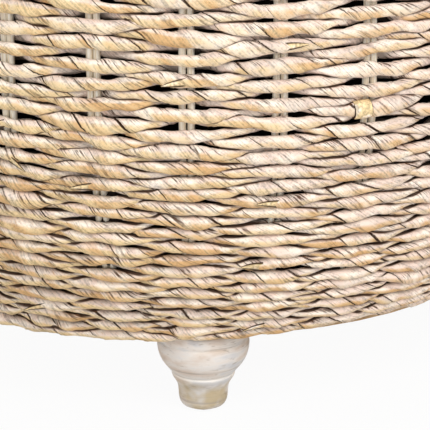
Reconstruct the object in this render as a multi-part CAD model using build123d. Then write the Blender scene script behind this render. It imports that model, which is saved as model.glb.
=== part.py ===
from build123d import *
import os
from math import asin, cos, pi, radians, sin

# Round wicker storage ottoman: a bowl-shaped basket woven over pairs of cane
# stakes, a plywood base on four turned feet, and a padded lid that lifts off.
# Millimetres, +Z up. The origin is on the floor under the middle of the basket.
# The front is -Y, where one foot stands. Angles run from the front towards +X.

# Driving dimensions of the basket's outer surface
BELLY_RADIUS = 305.0
BELLY_HEIGHT = 267.0
EDGE_HEIGHT = 69.0
RIM_HEIGHT = 388.0
LOWER_ARC = 334.0
UPPER_ARC = 1690.0

# Heights of the whole
FOOT_HEIGHT = 63.0
SEAT_LINE = 397.0
SEAT_CROWN = 467.0

# The weave: each row goes in front of one pair of stakes and behind the next
STAKE_PAIRS = 30
STAKE_PHASE = radians(10.0)
STAKE_HALF = 2.5
STAKE_SPREAD = 2.6
STAKE_DEPTH = 10.5
TIGHT_PITCH = 5.0
OPEN_PITCH = 6.4
TIGHT_LENGTH = 126.0
FIRST_ROW = 2.5
FLOAT_DEPTH = 0.0
DIVE_DEPTH = 10.5
MID_DEPTH = 13.0
BACK_DEPTH = 22.0
LOWER_RUNS = 4

# Large rounds are drawn with this many flats, under a millimetre inside the true circle
ROUND_SIDES = 48

# Rope borders at the lower edge and the rim
LOWER_BORDER_RADIUS = 228.0
LOWER_BORDER_HEIGHT = 69.5
LOWER_BORDER_HALF = 6.4
RIM_BORDER_INNER = 279.0
RIM_BORDER_OUTER = 300.5
BORDER_CLEARANCE = 0.3

# Base, hoop, rim ring and lining
BASE_RADIUS = 221.0
BASE_THICKNESS = 12.0
HOOP_INSET = 0.5
HOOP_WIDTH = 12.0
HOOP_HEIGHT = 12.0
RING_THICKNESS = 14.0
RING_INNER = 252.0
RING_OUTER = 276.5
LINING_THICKNESS = 3.0
LINING_FOOT_RADIUS = 196.0
LINING_RADIUS = 259.0
LINING_KNEE_HEIGHT = 187.0

# Turned feet
FEET = 4
FOOT_CIRCLE = 195.0
GLIDE_RADIUS = 9.0
GLIDE_SIDES = 12
GLIDE_THICKNESS = 1.5
COLLAR_RADIUS = 33.0
NECK_RADIUS = 18.0
BOLT_RADIUS = 4.0
BOLT_DEPTH = 28.0
INSERT_RADIUS = 6.5

# Lid
CLOTH_THICKNESS = 1.0
LID_RADIUS = 287.5
LID_THICKNESS = 12.0
FOAM_THICKNESS = 36.0
COVER_GAP = 0.5
COVER_THICKNESS = 3.0
COVER_BULGE = 8.0
CROWN_STEPS = 5
SIDE_STEPS = 6
WELT_RADIUS = 3.5
LOCATOR_OUTER = 249.0
LOCATOR_WIDTH = 24.0
LOCATOR_SCREWS = 4
SCREW_RADIUS = 2.5
SCREW_LENGTH = 20.0

os.makedirs("parts", exist_ok=True)


def save(name, *solids):
    """Write one node from its solids."""
    shape = solids[0] if len(solids) == 1 else Compound(label=name, children=list(solids))
    export_step(shape, f"parts/{name}.step")


def around(radius, angle, height):
    """A point at an angle from the front."""
    return (radius * sin(angle), -radius * cos(angle), height)


def closed_solid(faces):
    """A solid from flat faces that meet edge to edge."""
    return Solid(Shell(faces))


def facet(*points):
    return Face(Wire.make_polygon(points, close=True))


def facets_between(ring, following):
    """Flat four-sided faces between two rings of points."""
    count = len(ring)
    return [
        facet(ring[i], ring[(i + 1) % count], following[(i + 1) % count], following[i])
        for i in range(count)
    ]


def faceted_ring(section, sides, phase):
    """A section of radius and height points, carried round the axis in straight runs."""
    rings = []
    for i in range(sides):
        angle = phase + 2 * pi * i / sides
        rings.append([around(radius, angle, height) for radius, height in section])
    faces = []
    for i in range(sides):
        faces += facets_between(rings[i], rings[(i + 1) % sides])
    return closed_solid(faces)


def turned(*points):
    """A solid of revolution about Z from radius and height points."""
    outline = Polyline(*[(radius, 0, height) for radius, height in points], close=True)
    return revolve(make_face(outline), Axis.Z)


def placed_round(solid, count, radius):
    """Copies of a solid at even angles, the first at the front."""
    return [
        Pos(*around(radius, 2 * pi * i / count, 0)) * solid
        for i in range(count)
    ]


# The basket's profile, by length along it from the lower edge
EDGE_TURN = asin((BELLY_HEIGHT - EDGE_HEIGHT) / LOWER_ARC)
LOWER_LENGTH = LOWER_ARC * EDGE_TURN
WALL_LENGTH = LOWER_LENGTH + UPPER_ARC * asin((RIM_HEIGHT - BELLY_HEIGHT) / UPPER_ARC)


def wall_point(length, depth):
    """Radius and height of a point in the wall, at a depth under its outer surface."""
    bend = LOWER_ARC if length < LOWER_LENGTH else UPPER_ARC
    turn = (LOWER_LENGTH - length) / bend
    radius = BELLY_RADIUS - bend * (1 - cos(turn)) - depth * cos(turn)
    height = BELLY_HEIGHT - bend * sin(turn) + depth * sin(turn)
    return radius, height


def pair_angle(pair):
    return STAKE_PHASE + 2 * pi * pair / STAKE_PAIRS


def weave_rows():
    """Lengths along the profile at which the rows lie, tight below and open above."""
    rows = []
    length = FIRST_ROW
    while length < WALL_LENGTH:
        rows.append(length)
        length += TIGHT_PITCH if length < TIGHT_LENGTH else OPEN_PITCH
    return rows


ROWS = weave_rows()
RUN_LENGTH = (LOWER_LENGTH - FIRST_ROW) / LOWER_RUNS
RUN_ENDS = [FIRST_ROW + run * RUN_LENGTH for run in range(LOWER_RUNS + 1)] + [ROWS[-1]]


def wall_ring(length, depths):
    """Points at every pair of stakes, with depths taken in turn."""
    points = []
    for pair in range(STAKE_PAIRS):
        radius, height = wall_point(length, depths[pair % len(depths)])
        points.append(around(radius, pair_angle(pair), height))
    return points


def outer_courses():
    """The face of the weave: a raised float wherever a row crosses in front of a pair."""
    rings = []
    for row, length in enumerate(ROWS):
        depths = (FLOAT_DEPTH, DIVE_DEPTH) if row % 2 == 0 else (DIVE_DEPTH, FLOAT_DEPTH)
        rings.append(wall_ring(length, depths))
    faces = []
    for row in range(len(ROWS) - 1):
        low, high = rings[row], rings[row + 1]
        for pair in range(STAKE_PAIRS):
            following = (pair + 1) % STAKE_PAIRS
            if (row + pair) % 2 == 0:
                faces.append(facet(low[pair], low[following], high[pair]))
                faces.append(facet(low[following], high[following], high[pair]))
            else:
                faces.append(facet(low[pair], low[following], high[following]))
                faces.append(facet(low[pair], high[following], high[pair]))
    backs = [wall_ring(length, (MID_DEPTH,)) for length in RUN_ENDS]
    for low, high in zip(backs, backs[1:]):
        faces += facets_between(low, high)
    faces += facets_between(rings[0], backs[0])
    faces += facets_between(rings[-1], backs[-1])
    return closed_solid(faces)


def inner_courses():
    """The back of the weave, plain, between the stakes and the inside."""
    front = [wall_point(length, MID_DEPTH) for length in RUN_ENDS]
    back = [wall_point(length, BACK_DEPTH) for length in reversed(RUN_ENDS)]
    return faceted_ring(front + back, STAKE_PAIRS, STAKE_PHASE)


def stake(pair, side):
    """One cane rod that follows the wall in straight runs."""
    angle = pair_angle(pair)
    rings = []
    for length in RUN_ENDS:
        corners = []
        for across, depth in ((0, -1), (1, 0), (0, 1), (-1, 0)):
            radius, height = wall_point(length, STAKE_DEPTH + depth * STAKE_HALF)
            shift = side * STAKE_SPREAD + across * STAKE_HALF
            x, y, z = around(radius, angle, height)
            corners.append((x + shift * cos(angle), y + shift * sin(angle), z))
        rings.append(corners)
    faces = [facet(*rings[0]), facet(*rings[-1])]
    for low, high in zip(rings, rings[1:]):
        faces += facets_between(low, high)
    return closed_solid(faces)


def lower_border():
    """The rope that closes the lower edge, between the base and the last row."""
    section = []
    for corner in range(6):
        turn = corner * pi / 3
        radius = LOWER_BORDER_RADIUS + LOWER_BORDER_HALF * cos(turn)
        section.append((radius, LOWER_BORDER_HEIGHT + LOWER_BORDER_HALF * sin(turn)))
    return faceted_ring(section, ROUND_SIDES, 0.0)


def rim_border():
    """The wrapped rope that caps the rim, rounded off at both edges."""
    low = RIM_HEIGHT + BORDER_CLEARANCE
    high = SEAT_LINE - BORDER_CLEARANCE
    round_off = (high - low) / 2
    section = [
        (RIM_BORDER_INNER, (low + high) / 2),
        (RIM_BORDER_INNER + round_off, low),
        (RIM_BORDER_OUTER - round_off, low),
        (RIM_BORDER_OUTER, (low + high) / 2),
        (RIM_BORDER_OUTER - round_off, high),
        (RIM_BORDER_INNER + round_off, high),
    ]
    return faceted_ring(section, ROUND_SIDES, 0.0)


def flat_ring(inner, outer, low, high):
    section = [(inner, low), (outer, low), (outer, high), (inner, high)]
    return faceted_ring(section, ROUND_SIDES, 0.0)


def plate(radius, sides, low, high):
    """A flat plate or rod with even sides."""
    return Pos(0, 0, low) * extrude(RegularPolygon(radius, sides), high - low)


def disc(radius, low, high):
    return plate(radius, ROUND_SIDES, low, high)


def hexagon_rod(radius, low, high):
    return plate(radius, 6, low, high)


# Basket
save("weave_outer_courses", outer_courses())
save("weave_inner_courses", inner_courses())
save("weave_stakes", *[stake(pair, side) for pair in range(STAKE_PAIRS) for side in (-1, 1)])
save("lower_border", lower_border())
save("rim_border", rim_border())


# Fixings of the feet and of the lid's locating ring
BASE_TOP = FOOT_HEIGHT + BASE_THICKNESS
RING_LOW = SEAT_LINE - RING_THICKNESS
bolt = hexagon_rod(BOLT_RADIUS, FOOT_HEIGHT - BOLT_DEPTH, BASE_TOP)
bolts = placed_round(bolt, FEET, FOOT_CIRCLE)
insert = hexagon_rod(INSERT_RADIUS, FOOT_HEIGHT, BASE_TOP)
inserts = placed_round(insert, FEET, FOOT_CIRCLE)
screw = hexagon_rod(SCREW_RADIUS, RING_LOW, RING_LOW + SCREW_LENGTH)
screws = placed_round(screw, LOCATOR_SCREWS, LOCATOR_OUTER - LOCATOR_WIDTH / 2)
save("foot_bolts", *bolts)
save("foot_inserts", *placed_round(insert - bolt, FEET, FOOT_CIRCLE))
save("lid_screws", *screws)

# Base and lining
save("base_board", disc(BASE_RADIUS, FOOT_HEIGHT, BASE_TOP) - inserts)
HOOP_OUTER = BASE_RADIUS - HOOP_INSET
save("base_hoop", flat_ring(HOOP_OUTER - HOOP_WIDTH, HOOP_OUTER, BASE_TOP, BASE_TOP + HOOP_HEIGHT))
save("rim_ring", flat_ring(RING_INNER, RING_OUTER, RING_LOW, SEAT_LINE))
LINING_SECTION = [
    (LINING_FOOT_RADIUS, BASE_TOP),
    (LINING_RADIUS, LINING_KNEE_HEIGHT),
    (LINING_RADIUS, RING_LOW),
]
LINING_INSIDE = [(radius - LINING_THICKNESS, height) for radius, height in LINING_SECTION]
save("lining_drum", faceted_ring(LINING_SECTION + LINING_INSIDE[::-1], ROUND_SIDES, 0.0))
save("lining_floor", disc(LINING_FOOT_RADIUS - 2 * LINING_THICKNESS, BASE_TOP, BASE_TOP + LINING_THICKNESS))


def foot():
    """A turned foot: a collar with a groove, a tapering bulb, a bead and a straight toe."""
    toe = [(0.7, GLIDE_THICKNESS / FOOT_HEIGHT), (0.95, 0.1), (1.0, 0.26), (1.25, 0.41)]
    bulb = [(0.72, 0.46), (0.86, 0.55), (0.95, 0.65), (1.0, 0.77)]
    collar = [(0.95, 0.82), (1.0, 0.85), (1.0, 1.0)]
    outline = [(NECK_RADIUS * width, FOOT_HEIGHT * share) for width, share in toe]
    outline += [(COLLAR_RADIUS * width, FOOT_HEIGHT * share) for width, share in bulb + collar]
    return turned((0, GLIDE_THICKNESS), *outline, (0, FOOT_HEIGHT))


# Feet, each drilled for its bolt
save("turned_feet", *placed_round(foot() - bolt, FEET, FOOT_CIRCLE))
glide = plate(GLIDE_RADIUS, GLIDE_SIDES, 0, GLIDE_THICKNESS)
save("foot_glides", *placed_round(glide, FEET, FOOT_CIRCLE))

# Lid: cloth, board and foam, wrapped in a padded cover with a welt round its top edge
LID_LOW = SEAT_LINE + CLOTH_THICKNESS
LID_HIGH = LID_LOW + LID_THICKNESS
FOAM_HIGH = LID_HIGH + FOAM_THICKNESS
save("lid_cloth", disc(LID_RADIUS, SEAT_LINE, LID_LOW) - screws)
save("lid_board", disc(LID_RADIUS, LID_LOW, LID_HIGH) - screws)
save("seat_foam", disc(LID_RADIUS, LID_HIGH, FOAM_HIGH))


def cover():
    """Padded cover: sides that swell between two drawn-in edges, and a crowned top."""
    inner = LID_RADIUS + COVER_GAP
    edge = inner + COVER_THICKNESS
    shoulder = FOAM_HIGH + COVER_THICKNESS
    profile = []
    for step in range(1, CROWN_STEPS + 1):
        share = step / CROWN_STEPS
        profile.append((edge * share, SEAT_CROWN - (SEAT_CROWN - shoulder) * share**2))
    for step in range(1, SIDE_STEPS + 1):
        share = step / SIDE_STEPS
        radius = edge + COVER_BULGE * sin(pi * share)
        profile.append((radius, shoulder + (LID_LOW - shoulder) * share))
    profile += [(inner, LID_LOW), (inner, FOAM_HIGH)]
    rings = []
    for radius, height in profile:
        rings.append([around(radius, 2 * pi * i / ROUND_SIDES, height) for i in range(ROUND_SIDES)])
    faces = [facet(*rings[0]), facet(*rings[-1])]
    for ring, following in zip(rings, rings[1:]):
        faces += facets_between(ring, following)
    return closed_solid(faces)


def welt():
    """Piping along the seam between the top and the side of the cover."""
    section = []
    centre = LID_RADIUS + COVER_THICKNESS + WELT_RADIUS * 0.6
    for corner in range(6):
        turn = corner * pi / 3
        height = FOAM_HIGH + COVER_THICKNESS + WELT_RADIUS * sin(turn)
        section.append((centre + WELT_RADIUS * cos(turn), height))
    return faceted_ring(section, ROUND_SIDES, 0.0)


save("seat_cover", cover())
save("seat_welt", welt())
LOCATOR_INNER = LOCATOR_OUTER - LOCATOR_WIDTH
save("lid_locator", flat_ring(LOCATOR_INNER, LOCATOR_OUTER, RING_LOW, SEAT_LINE) - screws)

print(f"{len(ROWS)} rows over {STAKE_PAIRS} pairs of stakes")
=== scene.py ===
# %% [markdown]
# # A round wicker storage ottoman
# The ottoman is a bowl-shaped basket of twisted leaf rope, woven over pairs of cane stakes.
# It stands on four turned feet, and a padded linen lid lifts straight off the storage well.
# The CAD model gives every piece its place and size. This lesson keeps those places and
# gives each piece its visible form and finish. Loading the model comes first.

# %% Load the frame
from math import asin, cos, pi, radians, sin, tau
from types import SimpleNamespace

import bmesh
import bpy
import numpy as np
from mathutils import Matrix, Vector


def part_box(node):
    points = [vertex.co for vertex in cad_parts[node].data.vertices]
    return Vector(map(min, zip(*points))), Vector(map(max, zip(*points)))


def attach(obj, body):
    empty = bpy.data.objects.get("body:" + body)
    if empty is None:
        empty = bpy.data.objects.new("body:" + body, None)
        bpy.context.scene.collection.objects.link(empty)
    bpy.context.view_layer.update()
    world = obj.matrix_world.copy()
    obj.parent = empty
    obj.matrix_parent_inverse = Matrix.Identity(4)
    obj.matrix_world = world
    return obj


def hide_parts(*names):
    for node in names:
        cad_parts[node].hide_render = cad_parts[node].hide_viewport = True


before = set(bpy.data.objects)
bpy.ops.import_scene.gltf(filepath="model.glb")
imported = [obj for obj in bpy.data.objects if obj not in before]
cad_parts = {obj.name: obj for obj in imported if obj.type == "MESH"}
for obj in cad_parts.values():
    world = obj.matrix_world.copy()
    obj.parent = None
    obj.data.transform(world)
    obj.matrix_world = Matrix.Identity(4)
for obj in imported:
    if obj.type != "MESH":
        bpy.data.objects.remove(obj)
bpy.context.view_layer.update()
scene = bpy.context.scene
scene.view_settings.view_transform = "Standard"

# %% [markdown]
# ## The camera
# The photograph is a close view of the lower front: one foot and the curve of the weave above it.
# A camera can be placed by eye, but a few measured values are easier to correct. The scale is
# the number of pixels per metre at the front of the wall. Together with the distance it gives
# the lens, and the pixel column of the ottoman's axis gives the sideways aim.

# %% Place the camera
PHOTO_PIXELS = 430
PIXELS_PER_METRE = 1505.0
AXIS_COLUMN = 202.5
AIM_DEPTH = -0.291
AIM_HEIGHT = 0.175
VIEW_ELEVATION = radians(18.5)
VIEW_DISTANCE = 2.0


def placed(name, data):
    """A new object in the scene that shows this data."""
    made = bpy.data.objects.new(name, data)
    scene.collection.objects.link(made)
    return made


aim = Vector(((PHOTO_PIXELS / 2 - AXIS_COLUMN) / PIXELS_PER_METRE, AIM_DEPTH, AIM_HEIGHT))
backwards = Vector((0, -cos(VIEW_ELEVATION), sin(VIEW_ELEVATION)))
camera_data = bpy.data.cameras.new("photo_camera")
camera_data.lens = camera_data.sensor_width * VIEW_DISTANCE * PIXELS_PER_METRE / PHOTO_PIXELS
camera = placed("photo_camera", camera_data)
camera.location = aim + VIEW_DISTANCE * backwards
camera.rotation_euler = backwards.to_track_quat("Z", "Y").to_euler()
scene.camera = camera
print("lens", round(camera_data.lens, 1), "mm at", VIEW_DISTANCE, "m")

# %% [markdown]
# ## Shader arithmetic
# A finish is a sum of small patterns: fibres, stains, edges. Wiring Math nodes by hand hides the
# sum, so one small class wraps a socket and lets Python's operators add the nodes. Any other
# node comes from its one node method, which takes the settings first and the sockets after.

# %% A socket that can be added and multiplied
class Wire:
    """A shader socket that takes part in Python arithmetic."""

    def __init__(self, tree, socket=None):
        self.tree = tree
        self.socket = socket

    def __getitem__(self, output):
        return Wire(self.tree, self.socket.node.outputs[output])

    def node(self, kind, settings, inputs, output=0):
        made = self.tree.nodes.new("ShaderNode" + kind)
        for name, value in settings.items():
            setattr(made, name, value)
        for key, value in inputs.items():
            if isinstance(value, Wire):
                self.tree.links.new(value.socket, made.inputs[key])
            else:
                made.inputs[key].default_value = value
        return Wire(self.tree, made.outputs[output] if made.outputs else None)

    def math(self, operation, *terms):
        return self.node("Math", {"operation": operation}, dict(enumerate(terms)))

    def __add__(self, other):
        return self.math("ADD", self, other)

    def __radd__(self, other):
        return self.math("ADD", other, self)

    def __sub__(self, other):
        return self.math("SUBTRACT", self, other)

    def __rsub__(self, other):
        return self.math("SUBTRACT", other, self)

    def __mul__(self, other):
        return self.math("MULTIPLY", self, other)

    def __rmul__(self, other):
        return self.math("MULTIPLY", other, self)

    def rise(self, low, high):
        """0 below low, 1 above high, with a soft slope between."""
        settings = {"interpolation_type": "SMOOTHSTEP"}
        return self.node("MapRange", settings, {0: self, 1: low, 2: high, 3: 0.0, 4: 1.0})

    def here(self):
        """The place of a point on the object."""
        return self.node("TexCoord", {}, {}, "Object")

    def vector(self, x, y, z):
        return self.node("CombineXYZ", {}, {0: x, 1: y, 2: z})

    def parts(self):
        """This vector's X, Y and Z."""
        return self.node("SeparateXYZ", {}, {0: self})

    def scaled(self, x, y, z):
        """This vector, stretched along each axis."""
        return self.node("VectorMath", {"operation": "MULTIPLY"}, {0: self, 1: (x, y, z)})

    def noise(self, scale, detail=2.0, rough=0.5):
        """Soft random values over this vector, about 0.5."""
        inputs = {"Vector": self, "Scale": scale, "Detail": detail, "Roughness": rough}
        return self.node("TexNoise", {}, inputs, "Fac")

    def mix(self, first, second):
        """Two colours mixed, with this value as the share of the second."""
        settings = {"data_type": "RGBA"}
        return self.node("Mix", settings, {0: self, 6: first, 7: second}, 2)

    def tinted(self, colour):
        """A colour made darker or lighter by this value."""
        settings = {"data_type": "RGBA", "blend_type": "MULTIPLY"}
        return self.node("Mix", settings, {0: 1.0, 6: colour, 7: self}, 2)


print("sockets take part in sums")

# %% Start and close a finish
def paint(red, green, blue):
    """A colour written as screen values from 0 to 255, made linear for the shader."""
    shares = np.array([red, green, blue]) / 255
    linear = np.where(shares <= 0.04045, shares / 12.92, ((shares + 0.055) / 1.055) ** 2.4)
    return (*linear.tolist(), 1.0)


def new_finish(name):
    """An empty material and the wire that starts its nodes."""
    material = bpy.data.materials.new(name)
    material.use_nodes = True
    material.node_tree.nodes.clear()
    return material, Wire(material.node_tree)


def close_finish(material, start, height, depth, inputs):
    """Join the shader's inputs and a bump of some height and depth into the surface."""
    normal = start.node("Bump", {}, {"Strength": 1.0, "Distance": depth, "Height": height})
    shader = start.node("BsdfPrincipled", {}, {**inputs, "Normal": normal})
    start.node("OutputMaterial", {}, {"Surface": shader})
    return material


print("mid grey is", round(paint(128, 128, 128)[0], 3), "in linear light")

# %% [markdown]
# ## Floor and light
# The object stands on a pale floor in soft studio light. A white background can come from strong
# lamps, but that burns out the pale leaf. So the floor and the world are white only to the rays
# that the camera sees directly or by reflection. Part of the floor stays an ordinary surface, and
# keeps the soft shadow under the basket.

# %% Make the background white
SKY_LEVEL = 0.52
WHITE = (1, 1, 1, 1)


def seen_rays(start):
    """1 for rays from the camera, from a reflection or through glass."""
    path = start.node("LightPath", {}, {})
    seen = path["Is Camera Ray"] + path["Is Glossy Ray"] + path["Is Transmission Ray"]
    return seen.math("MINIMUM", seen, 1.0)


world = bpy.data.worlds.new("studio_world")
world.use_nodes = True
world.node_tree.nodes.clear()
scene.world = world
sky = Wire(world.node_tree)
sky_strength = seen_rays(sky) * (1.0 - SKY_LEVEL) + SKY_LEVEL
background = sky.node("Background", {}, {"Color": WHITE, "Strength": sky_strength})
sky.node("OutputWorld", {}, {"Surface": background})
print("the world lights at", SKY_LEVEL, "and shows as white")

# %% Lay the floor
FLOOR_GLOW = 0.95
FLOOR_RADIUS = 4.0
FLOOR_SEGMENTS = 96
FLOOR_COLOUR = (0.78, 0.78, 0.78, 1)


def mesh_from(shape, name):
    """A mesh with a bmesh's form. The bmesh is freed."""
    mesh = bpy.data.meshes.new(name)
    shape.to_mesh(mesh)
    shape.free()
    return mesh


floor_finish, floor_wire = new_finish("studio_floor")
plain = floor_wire.node("BsdfDiffuse", {}, {"Color": FLOOR_COLOUR})
glow = floor_wire.node("Emission", {}, {"Color": WHITE, "Strength": 1.0})
glow_share = seen_rays(floor_wire) * FLOOR_GLOW
floor_mix = floor_wire.node("MixShader", {}, {0: glow_share, 1: plain, 2: glow})
floor_wire.node("OutputMaterial", {}, {"Surface": floor_mix})

shape = bmesh.new()
bmesh.ops.create_circle(shape, cap_ends=True, radius=FLOOR_RADIUS, segments=FLOOR_SEGMENTS)
floor_mesh = mesh_from(shape, "studio_floor")
floor_mesh.materials.append(floor_finish)
floor = placed("studio_floor", floor_mesh)
print("floor", 2 * FLOOR_RADIUS, "m across")

# %% Hang the lamps
LAMP_AIM = Vector((0, 0, 0.25))
LAMPS = (  # name, place, size and power
    ("key_light", (0.9, -1.8, 1.7), 1.2, 34.0),
    ("fill_light", (-1.2, -2.2, 0.9), 1.6, 13.0),
    ("back_light", (0.6, 2.0, 1.8), 1.6, 16.0),
)
for name, place, size, power in LAMPS:
    lamp_data = bpy.data.lights.new(name, "AREA")
    lamp_data.size = size
    lamp_data.energy = power
    lamp = placed(name, lamp_data)
    lamp.location = place
    lamp.rotation_euler = (Vector(place) - LAMP_AIM).to_track_quat("Z", "Y").to_euler()
print(len(LAMPS), "soft lamps")

# %% [markdown]
# ## The leaf rope's finish
# The rope is a strip of dry leaf wound in a spiral round a core. Each turn shows as a slanted
# panel, with a line of painted shade at its edge where the leaf steps. Fibres run along the slant,
# the crests are tan, and a pale wash lies in the recesses. Painted shade also tans the lower half
# of each float, greys the wash where the rope lies deep, and darkens the rope where rows meet and
# where it dives. The pattern could be painted on an image, but the spiral is simple in the rope's
# own map: across counts turns along the rope, and up goes once round it. Their difference counts
# leaf panels, and its fraction is the place between two leaf edges. The patterns are kept together
# by name, so that colours, dark lines and relief can each be a short function.

# %% Find the patterns of the leaf
ROPE_ATTRIBUTES = ("course", "proud", "facing", "skyward", "clearance")
LEAF_PATTERNS = {  # scale across the leaf and along the rope, shift, detail and roughness
    "fine": (16.0, 2.4, 0.0, 2.0, 0.6),
    "fibres": (8.0, 1.4, 31.0, 2.0, 0.6),
    "bands": (3.0, 1.0, 57.0, 2.0, 0.5),
    "specks": (24.0, 6.0, 13.0, 1.0, 0.5),
}
ROPE_PATTERNS = {  # scale round the rope, along it and from row to row, and detail
    "stains": (3.0, 2.2, 7.7, 3.0),
    "frays": (2.0, 1.1, 4.1, 2.0),
}
TIGHT_COURSE, OPEN_COURSE = 16.0, 32.0
RIGHTWARD_FROM, RIGHTWARD_TO = -0.15, 0.2
GRIT_SCALE = 650.0


def leaf_patterns(start):
    """Every value that the leaf's finish is mixed from."""
    leaf = SimpleNamespace()
    for name in ROPE_ATTRIBUTES:
        setattr(leaf, name, start.node("Attribute", {"attribute_name": name}, {}, "Fac"))
    rope_map = start.node("UVMap", {"uv_map": "Rope"}, {}).parts()
    turns, round_share = rope_map["X"], rope_map["Y"]
    spiral = round_share - turns
    panel = spiral.math("FLOOR", spiral)
    leaf.place = spiral.math("FRACT", spiral)
    panel_key = start.vector(panel, leaf.course, 0.0)
    chance = start.node("TexWhiteNoise", {"noise_dimensions": "3D"}, {"Vector": panel_key})
    chances = start.node("SeparateColor", {}, {0: chance["Color"]})
    leaf.tint, leaf.strength, leaf.greyed = chance["Value"], chances["Green"], chances["Blue"]
    panel_shift = panel * 5.3 + leaf.course * 1.7
    for name, (across, along, shift, detail, rough) in LEAF_PATTERNS.items():
        spot = start.vector(leaf.place * across, turns * along, panel_shift + shift)
        setattr(leaf, name, spot.noise(1.0, detail, rough))
    for name, (around, along, by_row, detail) in ROPE_PATTERNS.items():
        spot = start.vector(round_share * around, turns * along, leaf.course * by_row)
        setattr(leaf, name, spot.noise(1.0, detail))
    leaf.mood = start.vector(turns * 0.4, leaf.course * 3.1, 0.0).noise(1.0, 1.0)
    here = start.here()
    leaf.grit = here.noise(GRIT_SCALE, 1.0)
    # Towards the right of the basket the leaf is less tan, its wash pinker and its fibres brighter,
    # and the dark lines between rows are narrower.
    leaf.washed_side = here.parts()["X"].rise(RIGHTWARD_FROM, RIGHTWARD_TO)
    leaf.tight = leaf.course.rise(OPEN_COURSE, TIGHT_COURSE)
    # The crest faces out and a little down, so its tan leans to the float's lower half; that lean is
    # painted shade.
    leaf.crest = (leaf.facing * 0.93 - leaf.skyward * 0.37).rise(0.3, 0.95)
    leaf.crest = leaf.crest * leaf.proud.rise(0.58, 0.8)
    return leaf


print(len(LEAF_PATTERNS) + len(ROPE_PATTERNS), "patterns on the leaf, and a mood along each row")

# %% Mix the colours of the leaf
TAN_LEAF = paint(229, 203, 156)
BROWN_LEAF = paint(203, 155, 102)
PALE_WASH = paint(248, 235, 220)
PINK_WASH = paint(233, 211, 197)
GREY_WASH_AND_SHADE = paint(200, 182, 170)
BRIGHTEST_FIBRE = 1.08


def leaf_colour(leaf):
    """Tan crests and washed recesses, with light and dark fibres, brown specks, and painted shade and
    light.
    """
    tan_share = leaf.crest * 0.8 + leaf.bands * 0.8 + leaf.stains * 0.8 + leaf.tint * 0.3
    tan_share = tan_share + leaf.mood * 1.2 + leaf.tight * 0.12 - leaf.washed_side * 0.45 - 1.57
    wash = (leaf.stains + leaf.washed_side * 0.07).rise(0.4, 0.62).mix(PALE_WASH, PINK_WASH)
    wash = (leaf.greyed.rise(0.6, 0.95) * 0.45).mix(wash, GREY_WASH_AND_SHADE)
    # Painted shade: the wash greys where the rope lies deep in the weave.
    wash = (leaf.proud.rise(0.75, 0.5) * 0.5).mix(wash, GREY_WASH_AND_SHADE)
    brown_share = leaf.bands * 0.7 + leaf.tint * 0.35 + leaf.mood * 0.5 + leaf.tight * 0.06
    leaf_tan = (brown_share.rise(0.74, 1.05) * 0.75).mix(TAN_LEAF, BROWN_LEAF)
    colour = tan_share.rise(0.0, 0.85).mix(wash, leaf_tan)
    # The low rows get a little painted light where they lean down from the lamps; rows where the weave
    # opens are a little darker.
    middle = leaf.tight * (1.0 - leaf.tight)
    brightness = leaf.fibres * 0.7 + leaf.fine * 1.7 + leaf.grit * 0.8 + leaf.washed_side * 0.06
    brightness = brightness + leaf.tight * 0.03 - middle * 0.2 - 0.63
    colour = brightness.math("MINIMUM", brightness, BRIGHTEST_FIBRE).tinted(colour)
    return (leaf.specks.rise(0.68, 0.76) * 0.6).mix(colour, BROWN_LEAF)


print("five colours of leaf and wash")

# %% Draw the dark lines and painted shade
EDGE_SHADE = paint(52, 29, 13)
LEAF_SLIT = paint(82, 50, 26)
CREVICE_RIM_SHADE = paint(150, 98, 54)
CREVICE_SHADE = paint(50, 29, 14)
DEEP_SHADE = paint(22, 14, 8)
EDGE_WIDTH = 0.066
CREVICE_RIM_GAP = (0.0027, 0.0013)
CREVICE_GAP = (0.0018, 0.0011)
TIGHT_GAP = 0.0009
RIGHTWARD_GAP = 0.0004


def add_lines(leaf):
    """The slits in frayed leaf, and the edges between panels, where painted shade goes."""
    leaf.slits = leaf.fine.rise(0.45, 0.37) * leaf.frays.rise(0.48, 0.62) * (1.0 - leaf.crest * 0.5)
    nearest = leaf.place.math("MINIMUM", leaf.place, 1.0 - leaf.place)
    taper = leaf.bands.rise(0.36, 0.6) * leaf.strength.rise(0.3, 0.6)
    # The edge mask: a line of painted shade, and a groove in the relief.
    leaf.edge = (taper * EDGE_WIDTH - nearest).rise(0.0, 0.03)


def darkened(leaf, colour):
    """The colour with its slits, and painted shade at the leaf edges, where rows meet and where rows
    dive.
    """
    colour = (leaf.slits * 0.9).mix(colour, LEAF_SLIT)
    # Painted shade in the step where each turn of leaf laps the next.
    colour = leaf.edge.mix(colour, EDGE_SHADE)
    # Painted shade in the crevices where rows meet.
    side_on = leaf.facing.rise(0.95, 0.5)
    clearance = leaf.clearance - leaf.tight * (TIGHT_GAP - leaf.washed_side * RIGHTWARD_GAP)
    colour = (clearance.rise(*CREVICE_RIM_GAP) * side_on * 0.5).mix(colour, CREVICE_RIM_SHADE)
    crevice = clearance.rise(*CREVICE_GAP) * side_on
    colour = (crevice * 0.94).mix(colour, CREVICE_SHADE)
    # Painted shade where the rope dives deep behind the stakes.
    recess = leaf.proud.rise(0.53, 0.44) * leaf.mood.rise(0.35, 0.55)
    return (recess * 0.94).mix(colour, DEEP_SHADE)


print("leaf edges up to", EDGE_WIDTH, "of a turn")

# %% Leaf rope finish
LEAF_RELIEF = 0.0008


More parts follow.
